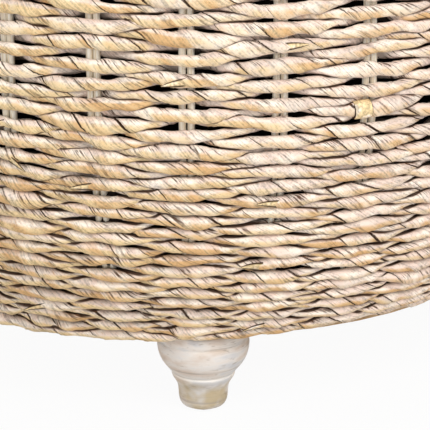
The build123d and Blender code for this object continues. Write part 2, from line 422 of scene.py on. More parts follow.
def leaf_rope_finish():
    material, start = new_finish("leaf_rope")
    leaf = leaf_patterns(start)
    add_lines(leaf)
    colour = darkened(leaf, leaf_colour(leaf))
    relief = leaf.fibres * 0.3 + leaf.fine * 0.35 + leaf.bands * 0.4 + leaf.place * 0.5
    relief = relief - leaf.edge * 0.8 - leaf.slits * 0.6
    rough = leaf.fibres * 0.2 + 0.66
    inputs = {"Base Color": colour, "Roughness": rough, "Specular IOR Level": 0.25}
    return close_finish(material, start, relief, LEAF_RELIEF, inputs)


leaf_rope = leaf_rope_finish()
print("finish", leaf_rope.name, "of", len(leaf_rope.node_tree.nodes), "nodes")

# %% [markdown]
# ## The wall of the basket
# Every row, stake and border lies in one curved wall. Two arcs describe it: a tight one from the
# lower edge to the belly, and a long flat one from the belly to the rim. Rows lie close together
# near the bottom and further apart above. Working from a length up this profile keeps rows evenly
# spaced on the curve, which a count of heights would not.

# %% The wall's profile and rows
BELLY_RADIUS = 0.305
FOOT_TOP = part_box("turned_feet")[1].z
SEAT_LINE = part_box("lid_cloth")[0].z
EDGE_HEIGHT = FOOT_TOP + 0.006
BELLY_HEIGHT = EDGE_HEIGHT + 0.198
RIM_HEIGHT = SEAT_LINE - 0.009
LOWER_ARC = 0.334
UPPER_ARC = 1.690
STAKE_PAIRS = 30
STAKE_PHASE = radians(10.0)
TIGHT_PITCH = 0.0054
OPEN_PITCH = 0.0066
TIGHT_LENGTH = 0.164
FIRST_ROW = 0.0025
LOWER_LENGTH = LOWER_ARC * asin((BELLY_HEIGHT - EDGE_HEIGHT) / LOWER_ARC)
WALL_LENGTH = LOWER_LENGTH + UPPER_ARC * asin((RIM_HEIGHT - BELLY_HEIGHT) / UPPER_ARC)


def wall(length):
    """Radius, height and lean of the wall's outer face at a length up its profile."""
    bend = LOWER_ARC if length < LOWER_LENGTH else UPPER_ARC
    lean = (LOWER_LENGTH - length) / bend
    return BELLY_RADIUS - bend * (1 - cos(lean)), BELLY_HEIGHT - bend * sin(lean), lean


def weave_rows():
    """Length up the profile and spacing of each row."""
    rows = []
    length = FIRST_ROW
    while length < WALL_LENGTH:
        pitch = TIGHT_PITCH if length < TIGHT_LENGTH else OPEN_PITCH
        rows.append((length, pitch))
        length += pitch
    return rows


rows = weave_rows()
print(len(rows), "rows up a wall of", round(WALL_LENGTH, 3), "m; belly", round(BELLY_RADIUS, 3), "m")

# %% [markdown]
# ## Rope along a path
# A rope could be one tube with a bump map, but then every float has the same smooth outline.
# Here each row is a bevelled curve that is thick where it lies over stakes and thin where it
# dives between them. The curve becomes a mesh, and its vertices then get the step of the wound
# leaf and small lumps. Blender's curve map runs along and round the tube, so it gives the Rope map
# for the finish, and a second map lays the strips out side by side for baking.

# %% A path for one rope
RINGS = 720
LEAF_TURN = 0.029
FIRST_TURN = 9
TURN_DRIFT = 0.12
DRIFT_WAVES = (6, 24)
WANDER_WAVES = 8

random = np.random.default_rng(7)
angles = pi + np.arange(RINGS) * tau / RINGS
radial = np.column_stack([np.sin(angles), -np.cos(angles), np.zeros(RINGS)])
upright = np.array([0.0, 0.0, 1.0])


def wander(least, most):
    """A closed, smooth, random curve round the basket, of about unit height."""
    steps = np.arange(RINGS) * tau / RINGS
    curve = np.zeros(RINGS)
    for waves in random.integers(least, most, WANDER_WAVES):
        curve += np.sin(waves * steps + random.uniform(0, tau))
    return curve / 2


def rope_path(length, depth, thick, rise, reach, course):
    """One closed rope in the wall, with its own frame, thickness and count of leaf turns."""
    radius, height, lean = wall(length)
    out = cos(lean) * radial - sin(lean) * upright
    up = sin(lean) * radial + cos(lean) * upright
    face = radius * radial + height * upright
    total = round(tau * radius / LEAF_TURN)
    shares = np.arange(RINGS + 1) / RINGS
    drift = TURN_DRIFT * wander(*DRIFT_WAVES)
    turns = shares * total + np.append(drift, drift[0]) + random.uniform(0, FIRST_TURN)
    centre = face - depth[:, None] * out + rise[:, None] * up
    return {"centre": centre, "out": out, "up": up, "thick": thick, "depth": depth,
            "turns": turns, "reach": reach, "course": course, "beside": []}


print("a path has", RINGS, "points, and a leaf turns every", LEAF_TURN, "m")

# %% Tubes along the paths
ROPE_BEVEL = 5
SIDES = 4 + 2 * ROPE_BEVEL


def final_mesh(piece):
    """The mesh that an object's curve or modifiers come to."""
    graph = bpy.context.evaluated_depsgraph_get()
    return bpy.data.meshes.new_from_object(piece.evaluated_get(graph))


def rope_tubes(name, ropes):
    """Plain tubes along the paths, made by a bevelled curve."""
    curve = bpy.data.curves.new(name, "CURVE")
    curve.dimensions = "3D"
    curve.twist_mode = "Z_UP"
    curve.bevel_depth = 1.0
    curve.bevel_resolution = ROPE_BEVEL
    for rope in ropes:
        spline = curve.splines.new("POLY")
        spline.points.add(RINGS - 1)
        places = np.column_stack([rope["centre"], np.ones(RINGS)])
        spline.points.foreach_set("co", places.ravel())
        spline.points.foreach_set("radius", rope["thick"])
        spline.use_cyclic_u = True
    draft = placed(name, curve)
    mesh = final_mesh(draft)
    bpy.data.objects.remove(draft)
    return mesh


print("a tube has", SIDES, "sides")

# %% Wind the leaf round the tubes
LEAF_STEP = 0.2
LEAF_BULGE = 0.16
LEAF_LUMPS = 0.07
PANEL_SEED, COURSE_SEED, SEED_SPREAD = 12.99, 78.23, 43758.5


def stacked(ropes, key):
    return np.stack([rope[key] for rope in ropes])


def clear_of(rope, skin):
    """How far each point of a rope's skin stands off the ropes beside it."""
    gaps = []
    for other in rope["beside"]:
        reach = np.linalg.norm(skin - other["centre"][:, None, :], axis=-1)
        gaps.append(reach - other["thick"][:, None])
    return np.min(gaps, axis=0)


def wind_leaf(mesh, ropes):
    """Give the tubes the step of the wound leaf, small lumps and the attributes of the finish."""
    count = len(ropes)
    spots = np.empty(len(mesh.vertices) * 3)
    mesh.vertices.foreach_get("co", spots)
    spots = spots.reshape(count, RINGS, SIDES, 3)
    centre = stacked(ropes, "centre")[:, :, None, :]
    out = stacked(ropes, "out")[:, :, None, :]
    up = stacked(ropes, "up")[:, :, None, :]
    offset = spots - centre
    outs = (offset * out).sum(-1, keepdims=True)
    ups = (offset * up).sum(-1, keepdims=True)
    along = offset - outs * out - ups * up
    turns = stacked(ropes, "turns")[:, :-1, None]
    spiral = np.arange(SIDES) / SIDES - turns
    course = stacked(ropes, "course")[:, None, None]
    lap = spiral % 1
    chance = np.sin(np.floor(spiral) * PANEL_SEED + course * COURSE_SEED) * SEED_SPREAD % 1
    bulge = LEAF_BULGE * (chance - 0.5) * np.sin(pi * lap)
    lumps = random.normal(0, 1, (count, RINGS, SIDES))
    lumps = (lumps + np.roll(lumps, 1, 1) + np.roll(lumps, 2, 1) + np.roll(lumps, 1, 2)) / 4
    swell = (1 + LEAF_STEP * (lap - 0.5) + bulge + LEAF_LUMPS * lumps)[..., None]
    spots = centre + along + swell * (outs * out + ups * up)
    mesh.vertices.foreach_set("co", spots.ravel())
    depth = stacked(ropes, "depth")[:, :, None] - outs[..., 0]
    proud = np.clip(1 - depth / stacked(ropes, "reach")[:, None, None], 0, 1)
    courses = np.broadcast_to(course, proud.shape)
    distance = np.linalg.norm(offset, axis=-1)
    facing = outs[..., 0] / distance
    skyward = ups[..., 0] / distance
    clearance = np.stack([clear_of(rope, skin) for rope, skin in zip(ropes, spots)])
    for name, values in zip(ROPE_ATTRIBUTES, (courses, proud, facing, skyward, clearance)):
        mesh.attributes.new(name, "FLOAT", "POINT").data.foreach_set("value", values.ravel())


print("a leaf edge steps", LEAF_STEP, "of the rope's radius")

# %% Map and finish a rope
STRIPS = 4
STRIP_MARGIN = 0.06


def map_rope(mesh, ropes):
    """Add the Rope map for the finish and the strip layout for baking."""
    loops = len(mesh.loops)
    curve_map = np.empty(loops * 2)
    mesh.uv_layers[0].data.foreach_get("uv", curve_map)
    along, around = curve_map.reshape(-1, 2).T
    vertex = np.empty(loops, np.int32)
    mesh.loops.foreach_get("vertex_index", vertex)
    rope = vertex // (RINGS * SIDES)
    ring = np.rint(along * RINGS).astype(int)
    turns = stacked(ropes, "turns")[rope, ring]
    strip = np.repeat(ring.reshape(-1, 4).min(1) * STRIPS // RINGS, 4)
    across = ring * STRIPS / RINGS - strip
    row_share = STRIP_MARGIN + around * (1 - 2 * STRIP_MARGIN)
    upward = (rope * STRIPS + strip + row_share) / (len(ropes) * STRIPS)
    mesh.uv_layers.remove(mesh.uv_layers[0])
    for name, columns in (("Rope", (turns, around)), ("OFBake", (across, upward))):
        mesh.uv_layers.new(name=name).data.foreach_set("uv", np.column_stack(columns).ravel())


def give_finish(mesh, finish):
    """Put one finish on a mesh in place of what it had."""
    mesh.materials.clear()
    mesh.materials.append(finish)


def rope_piece(name, ropes):
    """A finished piece of one or more ropes on the basket."""
    mesh = rope_tubes(name, ropes)
    wind_leaf(mesh, ropes)
    map_rope(mesh, ropes)
    give_finish(mesh, leaf_rope)
    mesh.shade_smooth()
    piece = placed(name, mesh)
    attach(piece, "base")
    return piece


print("each rope is baked in", STRIPS, "strips")

# %% [markdown]
# ## The weave
# A row goes in front of one pair of stakes and behind the next, and the row above does the
# opposite. A cosine round the basket gives this swing. Thickness follows the same wave, because
# the rope is squeezed where the rows cross between two pairs. A real weave isn't even, so rows
# wander, some floats are wider, and the lower edge waves a little. Two wide floats are placed
# where the photograph shows them. Four rows share an object, so that each object has a fair
# share of the baked maps.

# %% Choose the wide floats
FIRST_PASS = 1
FAT_FLOATS = 50
FAT_SHARE = 0.32
FAT_WIDTH = radians(4.5)
WIDE_FLOATS = ((33, radians(-14.0)), (5, radians(10.0)))
splice_random = np.random.default_rng(11)


def front_float(skipped=0):
    """A random row, and an angle where it lies in front of the stakes, past the skipped pairs."""
    row = int(splice_random.integers(len(rows)))
    step = int(splice_random.integers(skipped, STAKE_PAIRS // 2 - skipped))
    pair = 2 * step + (row + FIRST_PASS) % 2
    return row, STAKE_PHASE + tau * pair / STAKE_PAIRS


def fattened(thick, angle):
    """The rope with one wide float, where a fresh leaf was laid in."""
    apart = (angles - angle + pi) % tau - pi
    return thick * (1 + FAT_SHARE * np.exp(-(apart / FAT_WIDTH) ** 2))


fat_floats = [*WIDE_FLOATS] + [front_float() for _ in range(FAT_FLOATS)]
print(len(fat_floats), "wide floats")

# %% Lead a row round the stakes
OPENING_LENGTH = 0.02
ROPE_RADIUS = (0.0043, 0.0046)
SWING_DEPTH = (0.0044, 0.0058)
SQUEEZE = (0.58, 0.56)
SWAY = (0.001, 0.0011)
SHORT_SWAY = 0.25
DIVE_SHARPNESS = 2.6
FLOAT_FULLNESS = 0.9
FLOAT_SAG = 0.0007
SAG_RANGE = (0.4, 1.6)
REACH_SWINGS = 3.5
CROSSING_WANDER = 0.08
THICK_WANDER = 0.08
ROW_THICKNESS = 0.09
EDGE_WAVE = 0.006
EDGE_WAVE_LENGTH = 0.10
CROSSING_WAVES = (5, 40)
THICK_WAVES = (20, 90)
SWAY_WAVES = (3, 20)
SHORT_WAVES = (20, 70)


def between(ends, openness):
    """A value on its way from the tight rows to the open ones."""
    tight, loose = ends
    return tight + openness * (loose - tight)


def edge_wave(length):
    """The uneven lower edge of a hand-woven basket, which dies out up the wall."""
    share = max(0.0, 1 - length / EDGE_WAVE_LENGTH)
    return EDGE_WAVE * share ** 2 * np.sin(2 * angles)


def woven_path(course, length, pitch):
    """The path of one row, over and under the stakes."""
    openness = min(1.0, max(0.0, (length - TIGHT_LENGTH) / OPENING_LENGTH + 0.5))
    rope = between(ROPE_RADIUS, openness)
    depth_swing = between(SWING_DEPTH, openness)
    crossing = (angles - STAKE_PHASE) * STAKE_PAIRS / tau + course + FIRST_PASS
    crossing += CROSSING_WANDER * wander(*CROSSING_WAVES)
    swing = np.cos(pi * crossing)
    squeeze = between(SQUEEZE, openness) * pitch / rope
    thick = rope * (squeeze + (1 - squeeze) * np.abs(swing) ** FLOAT_FULLNESS)
    unevenness = THICK_WANDER * wander(*THICK_WAVES)
    thick = thick * (1 + unevenness + ROW_THICKNESS * random.uniform(-1, 1))
    for row, angle in fat_floats:
        if row == course:
            thick = fattened(thick, angle)
    sag = FLOAT_SAG * random.uniform(*SAG_RANGE) * swing
    sway = wander(*SWAY_WAVES) + SHORT_SWAY * wander(*SHORT_WAVES)
    rise = between(SWAY, openness) * sway + edge_wave(length) - sag
    depth = rope + 2 * depth_swing * ((1 - swing) / 2) ** DIVE_SHARPNESS
    return rope_path(length, depth, thick, rise, REACH_SWINGS * depth_swing, float(course))


print("rope radius from", ROPE_RADIUS[0], "to", ROPE_RADIUS[1], "m")

# %% Weave the rows
ROWS_PER_PIECE = 4

paths = [woven_path(course, length, pitch) for course, (length, pitch) in enumerate(rows)]
for below, above in zip(paths, paths[1:]):
    below["beside"].append(above)
    above["beside"].append(below)
for first in range(0, len(paths), ROWS_PER_PIECE):
    name = f"weave_rows_{first // ROWS_PER_PIECE + 1:02d}"
    rope_piece(name, paths[first:first + ROWS_PER_PIECE])
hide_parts("weave_outer_courses", "weave_inner_courses")

# %% [markdown]
# ## Rope borders
# Two ropes curl under the lower edge and three lie side by side on the rim, where a maker turns
# the stakes in and binds them. They are the same rope without the swing, so one function makes
# them all from a radius and a height.

# %% Lay the borders
BORDER_RADIUS = 0.0041
BORDER_REACH = 0.018
BORDER_WAVE = 0.0003
BORDER_THICK_WAVES = (10, 60)
BORDER_LIFT_WAVES = (3, 12)
LOWER_TILT = radians(-35.0)
RIM_TILT = radians(65.0)
LOWER_COURSE = 100.0
RIM_COURSE = 110.0
LOWER_BORDERS = ((0.2332, FOOT_TOP + 0.0057), (0.2262, FOOT_TOP + 0.0046))
RIM_BORDERS = (
    (0.2967, SEAT_LINE - 0.0048), (0.2900, SEAT_LINE - 0.0044), (0.2833, SEAT_LINE - 0.0047),
)


def border_path(radius, height, tilt, wave, course, neighbour):
    """A rope that lies flat round the basket, with its open side tilted up from outwards."""
    out = cos(tilt) * radial + sin(tilt) * upright
    up = cos(tilt) * upright - sin(tilt) * radial
    thick = BORDER_RADIUS * (1 + THICK_WANDER * wander(*BORDER_THICK_WAVES))
    lift = height + wave + BORDER_WAVE * wander(*BORDER_LIFT_WAVES)
    centre = radius * radial + lift[:, None] * upright
    total = round(tau * radius / LEAF_TURN)
    turns = np.arange(RINGS + 1) / RINGS * total + random.uniform(0, FIRST_TURN)
    depth = np.full(RINGS, BORDER_RADIUS)
    return {"centre": centre, "out": out, "up": up, "thick": thick, "depth": depth,
            "turns": turns, "reach": BORDER_REACH, "course": course, "beside": [neighbour]}


def border_paths(spots, tilt, wave, first_course, neighbour):
    """Ropes side by side, the first beside a row and each other one beside the last."""
    ropes = []
    for i, spot in enumerate(spots):
        neighbour = border_path(*spot, tilt, wave, first_course + i, neighbour)
        ropes.append(neighbour)
    return ropes


lower_ropes = border_paths(LOWER_BORDERS, LOWER_TILT, edge_wave(0.0), LOWER_COURSE, paths[0])
rim_ropes = border_paths(RIM_BORDERS, RIM_TILT, 0.0, RIM_COURSE, paths[-1])
lower_edge = rope_piece("lower_edge_ropes", lower_ropes)
rim_edge = rope_piece("rim_ropes", rim_ropes)
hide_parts("lower_border")
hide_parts("rim_border")
print(len(lower_ropes), "ropes under the edge and", len(rim_ropes), "on the rim")

# %% [markdown]
# ## Splices
# A leaf is shorter than a row, so the maker lays in a new one every few turns. A join shows as a
# short collar of leaf wound across the rope, or as a pointed end that stands off the weave.
# They are too large for bump, so collars are spun round the rope's own axis, and each end is
# extruded from a short row of edges, narrower at every step. One collar and one end are placed
# where the photograph shows them.

# %% Splice finish
def splice_finish():
    material, start = new_finish("leaf_splice")
    here = start.here()
    lip = start.node("Attribute", {"attribute_name": "lip"}, {}, "Fac")
    fibres = here.scaled(420.0, 420.0, 140.0).noise(1.0, 2.0)
    stains = here.noise(110.0, 2.0)
    grit = here.noise(GRIT_SCALE, 1.0)
    colour = stains.rise(0.28, 0.5).mix(PALE_WASH, TAN_LEAF)
    colour = (fibres * 1.2 + grit * 1.2 - 0.2).tinted(colour)
    # The lips of collars and the sides of leaf ends get painted shade.
    colour = lip.rise(0.35, 0.9).mix(colour, EDGE_SHADE)
    inputs = {"Base Color": colour, "Roughness": 0.75, "Specular IOR Level": 0.25}
    return close_finish(material, start, fibres, 0.0005, inputs)


leaf_splice = splice_finish()
print("finish", leaf_splice.name)

# %% Shape a collar and a leaf end
COLLAR_LENGTH = 0.0125
COLLAR_SLANT = 0.12
COLLAR_STEPS = 16
# The dark lip in the profile marks where painted shade goes at the collar's ends.
COLLAR_PROFILE = (  # share of the rope's radius, place along the collar, and dark lip
    (0.8, -0.5, 1), (1.1, -0.5, 1), (1.18, -0.43, 0), (1.21, 0, 0), (1.18, 0.43, 0),
    (1.1, 0.5, 1), (0.8, 0.5, 1),
)
END_LENGTH = 0.016
END_STEPS = 6
END_ROOT = 0.7
END_CLIMB = 0.45
END_LIFT = 0.003
END_TAPER = 0.9
ACROSS_END = (-1, 0, 1)


def rope_spot(row, angle):
    """Centre, outward, upward and forward directions and thickness of a row at an angle."""
    rope = paths[row]
    ring = round((angle - pi) % tau / tau * RINGS) % RINGS
    centre = Vector(rope["centre"][ring])
    forward = (Vector(rope["centre"][(ring + 1) % RINGS]) - centre).normalized()
    thick = float(rope["thick"][ring])
    return centre, Vector(rope["out"][ring]), Vector(rope["up"][ring]), forward, thick


def collar(shape, lip, row, angle):
    """Spin a short sleeve of leaf round the rope, a little across its line."""
    centre, out, up, forward, thick = rope_spot(row, angle)
    axis = (forward + COLLAR_SLANT * up).normalized()
    outward = (out - out.dot(axis) * axis).normalized()
    profile = []
    for swell, place, dark in COLLAR_PROFILE:
        vert = shape.verts.new(centre + swell * thick * outward + place * COLLAR_LENGTH * axis)
        vert[lip] = dark
        profile.append(vert)
    edges = [shape.edges.new(pair) for pair in zip(profile, profile[1:] + profile[:1])]
    bmesh.ops.spin(shape, geom=profile + edges, cent=centre, axis=axis, angle=tau,
                   steps=COLLAR_STEPS, use_merge=True)


def leaf_end(shape, lip, row, angle, side, lean, width):
    """Extrude a pointed strip that leaves the rope to one side, leaning up or down, and lifts off."""
    centre, out, up, forward, thick = rope_spot(row, angle)
    base = centre + END_ROOT * thick * out
    tip = END_LENGTH * (side * forward + lean * up)
    across = [shape.verts.new(base + half * width / 2 * up) for half in ACROSS_END]
    edges = [shape.edges.new(pair) for pair in zip(across, across[1:])]
    # The side edges of each end carry painted shade through the lip.
    for half, vert in zip(ACROSS_END, across):
        vert[lip] = abs(half)
    for step in range(1, END_STEPS + 1):
        share = step / END_STEPS
        made = bmesh.ops.extrude_edge_only(shape, edges=edges)["geom"]
        edges = [item for item in made if isinstance(item, bmesh.types.BMEdge)]
        across = [item for item in made if isinstance(item, bmesh.types.BMVert)]
        across.sort(key=lambda vert: vert.co.dot(up))
        lift = END_CLIMB * thick * share ** 0.5 + END_LIFT * share ** 2
        middle = base + share * tip + lift * out
        for half, vert in zip(ACROSS_END, across):
            vert.co = middle + half * (1 - END_TAPER * share ** 2) * width / 2 * up


print("a collar is", COLLAR_LENGTH, "m long and a leaf end", END_LENGTH, "m")

# %% Wind collars and leave leaf ends
COLLARS = 14
COLLAR_SKIP = 2
LEAF_ENDS = 90
END_WIDTH = 0.0055
END_LEAN = (-0.5, 0.2)
END_THICKNESS = 0.0005
FRONT_COLLAR = (34, radians(20.6))
FRONT_END = (13, radians(8.5), -1.0, 0.4, 0.0075)

shape = bmesh.new()
lip = shape.verts.layers.float.new("lip")
leaf_end(shape, lip, *FRONT_END)
for _ in range(LEAF_ENDS):
    side = float(splice_random.choice((-1, 1)))
    lean = float(splice_random.uniform(*END_LEAN))
    leaf_end(shape, lip, *front_float(), side, lean, END_WIDTH)
bmesh.ops.recalc_face_normals(shape, faces=shape.faces)
bmesh.ops.solidify(shape, geom=shape.faces[:], thickness=END_THICKNESS)
collar(shape, lip, *FRONT_COLLAR)
for _ in range(COLLARS):
    collar(shape, lip, *front_float(COLLAR_SKIP))
bmesh.ops.recalc_face_normals(shape, faces=shape.faces)
splice_mesh = mesh_from(shape, "leaf_splices")
splice_mesh.materials.append(leaf_splice)
splice_mesh.shade_smooth()
splices = placed("leaf_splices", splice_mesh)
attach(splices, "base")
print(COLLARS + 1, "collars and", LEAF_ENDS + 1, "leaf ends,", len(splice_mesh.polygons), "faces")

# %% [markdown]
# ## Cane stakes
# Thirty pairs of thin cane rods carry the weave from the base to the rim. Each is a curve with a
# round bevel that follows the wall at its own depth, which is lighter than sixty bent cylinders.
# The finish is pale cane with fine lines along the rod and a brown stain here and there.

# %% Cane finish
CANE_SHADE = paint(232, 218, 192)
CANE_LIGHT = paint(252, 247, 234)
CANE_STAIN = paint(176, 142, 102)


def cane_finish():
    material, start = new_finish("cane")
    here = start.here()
    lines = here.scaled(900.0, 900.0, 30.0).noise(1.0, 2.0)
    patches = here.scaled(60.0, 60.0, 25.0).noise(1.0, 2.0)
    colour = lines.rise(0.35, 0.65).mix(CANE_SHADE, CANE_LIGHT)
    colour = (patches.rise(0.52, 0.75) * 0.35).mix(colour, CANE_STAIN)
    inputs = {"Base Color": colour, "Roughness": 0.6, "Specular IOR Level": 0.3}
    return close_finish(material, start, lines, 0.0003, inputs)


cane = cane_finish()
print("finish", cane.name)

# %% Set the stakes
STAKE_RADIUS = 0.0025
STAKE_SPREAD = 0.00255
STAKE_DEPTH = 0.0105
STAKE_POINTS = 36
STAKE_BEVEL = 2
STAKE_SWAY = 0.0004
SWAY_TURN = 9

stake_curve = bpy.data.curves.new("cane_stakes", "CURVE")
stake_curve.dimensions = "3D"
stake_curve.bevel_depth = STAKE_RADIUS
stake_curve.bevel_resolution = STAKE_BEVEL
stake_curve.use_fill_caps = True
for pair in range(STAKE_PAIRS):
    angle = STAKE_PHASE + tau * pair / STAKE_PAIRS
    outward = Vector((sin(angle), -cos(angle), 0))
    sideways = Vector((cos(angle), sin(angle), 0))
    for side in (-1, 1):
        spline = stake_curve.splines.new("POLY")
        spline.points.add(STAKE_POINTS - 1)
        sway = random.uniform(0, tau)
        for i, point in enumerate(spline.points):
            length = WALL_LENGTH * i / (STAKE_POINTS - 1)
            radius, height, lean = wall(length)
            shift = side * STAKE_SPREAD + STAKE_SWAY * sin(SWAY_TURN * length / WALL_LENGTH + sway)
            inner = radius - STAKE_DEPTH * cos(lean)
            spot = inner * outward + shift * sideways
            spot.z = height + STAKE_DEPTH * sin(lean)
            point.co = (*spot, 1.0)
draft = placed("cane_draft", stake_curve)
stake_mesh = final_mesh(draft)
bpy.data.objects.remove(draft)
give_finish(stake_mesh, cane)
stake_mesh.shade_smooth()
stakes = placed("cane_stakes", stake_mesh)
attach(stakes, "base")
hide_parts("weave_stakes")
print(len(stake_curve.splines), "stakes")

# %% [markdown]
# ## Turned feet
# The feet come off a lathe, so a spin is the natural operator: one profile turned round each
# foot's axis. A few profile points hold the collar, the bulb below it and the tapering toe, and a
# Subdivision modifier rounds them. The finish is a white wash over pale wood, with grey-brown
# streaks that follow the turning, a pale line of painted highlight in the lower groove, and worn
# wood at the toe.

# %% Washed wood finish
THICK_WASH = paint(233, 227, 221)
THIN_WASH = paint(216, 199, 184)
COOL_WASH = paint(202, 202, 206)
GROOVE_HIGHLIGHT = paint(250, 244, 234)
WORN_TOE = paint(186, 166, 126)
TURNING_STREAK = paint(164, 152, 142)
WOOD_PORE = paint(140, 120, 96)
TOE_HEIGHTS = (0.0275, 0.0195)
GROOVE_LOW = (0.0255, 0.0268)
GROOVE_HIGH = (0.0288, 0.0276)


def washed_wood_finish():
    material, start = new_finish("washed_wood")
    here = start.here()
    rings = here.scaled(9.0, 9.0, 300.0).noise(1.0, 3.0, 0.6)
    broad = here.scaled(40.0, 40.0, 110.0).noise(1.0, 3.0)
    pores = here.scaled(160.0, 160.0, 700.0).noise(1.0, 2.0)
    mottle = here.noise(75.0, 2.0)
    height = here.parts()["Z"]
    colour = broad.rise(0.4, 0.7).mix(THICK_WASH, THIN_WASH)
    colour = (broad.rise(0.48, 0.32) * 0.7).mix(colour, COOL_WASH)
    toe = height.rise(*TOE_HEIGHTS) * mottle.rise(0.28, 0.68)
    colour = (toe * 0.85).mix(colour, WORN_TOE)
    # A pale line of painted highlight in the lower groove.
    groove = height.rise(*GROOVE_LOW) * height.rise(*GROOVE_HIGH)
    colour = (groove * 0.6).mix(colour, GROOVE_HIGHLIGHT)
    colour = (rings.rise(0.47, 0.3) * 0.6).mix(colour, TURNING_STREAK)
    colour = (pores.rise(0.4, 0.26) * 0.4).mix(colour, WOOD_PORE)
    inputs = {"Base Color": colour, "Roughness": 0.62, "Specular IOR Level": 0.35}
    return close_finish(material, start, rings * 0.6 + pores * 0.4, 0.0004, inputs)


washed_wood = washed_wood_finish()
print("finish", washed_wood.name)

# %% Turn a profile on the lathe
def spun(shape, profile, axis, steps):
    """Turn a profile of radius and height points round an upright axis."""
    ring = [shape.verts.new((axis[0] + radius, axis[1], height)) for radius, height in profile]
    edges = [shape.edges.new(pair) for pair in zip(ring, ring[1:])]
    bmesh.ops.spin(shape, geom=ring + edges, cent=(*axis, 0), axis=(0, 0, 1), angle=tau,
                   steps=steps, use_merge=True)


def spun_piece(name, profile, axes, steps, finish, body):
    """A finished piece of one profile, turned round one or more axes."""
    shape = bmesh.new()
    for axis in axes:
        spun(shape, profile, axis, steps)
    bmesh.ops.remove_doubles(shape, verts=shape.verts, dist=1e-6)
    bmesh.ops.recalc_face_normals(shape, faces=shape.faces)
    mesh = mesh_from(shape, name)
    mesh.materials.append(finish)
    piece = placed(name, mesh)
    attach(piece, body)
    return piece


def rounded(piece, name):
    """Smooth a piece with one level of subdivision."""
    piece.data.shade_smooth()
    rounding = piece.modifiers.new(name, "SUBSURF")
    rounding.levels = 1
    rounding.render_levels = 1


print("lathe ready")

# %% Turn the feet
FOOT_CIRCLE = 0.195
FOOT_COUNT = 4
FOOT_STEPS = 40
FOOT_PROFILE = (
    (0.0000, 0.0016), (0.0122, 0.0016), (0.0146, 0.0022), (0.0166, 0.0046), (0.0175, 0.0085),
    (0.0177, 0.0132), (0.0180, 0.0168), (0.0192, 0.0200), (0.0214, 0.0232), (0.0226, 0.0254),
    (0.0226, 0.0266), (0.0220, 0.0273), (0.0236, 0.0290), (0.0262, 0.0322), (0.0286, 0.0352),
    (0.0304, 0.0382), (0.0318, 0.0415), (0.0327, 0.0460), (0.0330, 0.0495), (0.0328, 0.0512),
    (0.0316, 0.0522), (0.0324, 0.0533), (0.0331, 0.0547), (0.0331, 0.0620), (0.0326, 0.0628),
    (0.0000, 0.0628),
)

foot_axes = []
for i in range(FOOT_COUNT):
    turn = tau * i / FOOT_COUNT
    foot_axes.append((FOOT_CIRCLE * sin(turn), -FOOT_CIRCLE * cos(turn)))
feet = spun_piece("washed_feet", FOOT_PROFILE, foot_axes, FOOT_STEPS, washed_wood,
                  "base")
rounded(feet, "rounding")
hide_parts("turned_feet")
print(FOOT_COUNT, "feet on a circle of", FOOT_CIRCLE, "m")

# %% [markdown]
# ## Inside the basket
# A dark felt lining on thin board makes the storage well, and it is what shows black through the
# gaps of the weave. The base, the hoop and the rim ring are plywood. The base and the hoop are
# hidden and keep their CAD solids. The lining and the rim ring show when the lid is off, so they
# are spun again here in many steps, and the ring gets eased edges.

# %% Felt and plywood
FELT_DARK = paint(30, 27, 25)
FELT_BROWN = paint(44, 39, 35)
FELT_FUZZ = paint(66, 58, 52)
PLY_DARK = paint(190, 156, 114)
PLY_LIGHT = paint(216, 186, 146)
PLY_GLUE = paint(160, 122, 84)
PLY_SPACING = 0.0042


def felt_finish():
    material, start = new_finish("lining_felt")
    here = start.here()
    fuzz = here.noise(900.0, 3.0)
    clouds = here.noise(30.0, 2.0)
    colour = clouds.mix(FELT_DARK, FELT_BROWN)
    colour = (fuzz.rise(0.5, 0.75) * 0.5).mix(colour, FELT_FUZZ)
    inputs = {"Base Color": colour, "Roughness": 0.95, "Specular IOR Level": 0.1}
    return close_finish(material, start, fuzz, 0.0006, inputs)


def plywood_finish():
    material, start = new_finish("plywood")
    here = start.here()
    grain = here.scaled(12.0, 160.0, 160.0).noise(1.0, 3.0, 0.6)
    height = here.parts()["Z"]
    plies = height.math("SINE", height * (tau / PLY_SPACING))
    colour = grain.rise(0.35, 0.68).mix(PLY_DARK, PLY_LIGHT)
    colour = (plies.rise(0.2, 0.8) * 0.25).mix(colour, PLY_GLUE)
    inputs = {"Base Color": colour, "Roughness": 0.7, "Specular IOR Level": 0.3}
    return close_finish(material, start, grain, 0.0003, inputs)


felt = felt_finish()
plywood = plywood_finish()
print("finishes", felt.name, "and", plywood.name)

# %% Line the well and ring the rim
ROUND_STEPS = 128
CENTRE = [(0.0, 0.0)]
LINING_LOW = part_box("lining_drum")[0].z
LINING_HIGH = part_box("lining_drum")[1].z
LINING_KNEE = LINING_LOW + 0.112
LINING_PROFILE = (
    (0.0, LINING_LOW + 0.0002), (0.1935, LINING_LOW + 0.0002), (0.1962, LINING_LOW + 0.003),
    (0.2588, LINING_KNEE), (0.2588, LINING_HIGH), (0.2562, LINING_HIGH),
    (0.2562, LINING_KNEE + 0.001), (0.1928, LINING_LOW + 0.0034), (0.0, LINING_LOW + 0.0034),
)
RIM_RING = (0.252, 0.2765)
RING_EASE = 0.0012


def ring_profile(inner, outer):
    """The section of a flat ring below the seat, closed, with eased corners."""
    ease, low, high = RING_EASE, LINING_HIGH, SEAT_LINE
    return (
        (inner, low + ease), (inner + ease, low), (outer - ease, low), (outer, low + ease),
        (outer, high - ease), (outer - ease, high), (inner + ease, high), (inner, high - ease),
        (inner, low + ease),
    )


